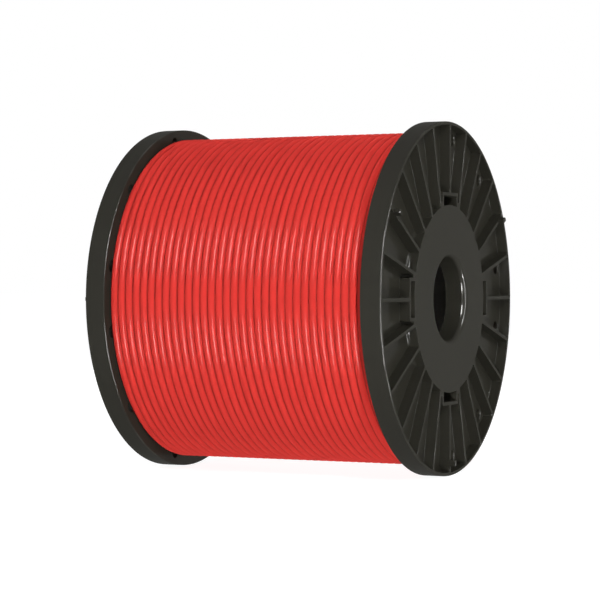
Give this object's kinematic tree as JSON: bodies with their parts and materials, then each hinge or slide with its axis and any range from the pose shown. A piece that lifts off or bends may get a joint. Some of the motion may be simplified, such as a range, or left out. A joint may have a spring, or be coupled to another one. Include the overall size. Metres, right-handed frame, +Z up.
{
  "type": "wire spool",
  "caption": "Plastic wire spool with two ribbed flanges on a snap-in barrel, wound full with red single-core insulated wire, its outer end tucked through a flange hole.",
  "frame": {"origin": "middle of the spool, on the arbor axis, half way between the two flanges", "axes": "+Y along the arbor axis from the near flange to the far flange, +Z up with the spool resting on its two rims, +X across"},
  "size_m": [0.216, 0.2012, 0.216],
  "materials": {
    "spool_plastic": "smooth moulded dark grey polystyrene with a soft gloss",
    "wire_insulation": "smooth extruded red PVC",
    "conductor": "bright cut copper"
  },
  "bodies": {
    "root": {"near_flange": "spool_plastic", "far_flange": "spool_plastic", "barrel": "spool_plastic", "inner_wire_layers": "wire_insulation", "outer_wire_layer": "wire_insulation", "conductor_end": "conductor"}
  },
  "joints": []
}
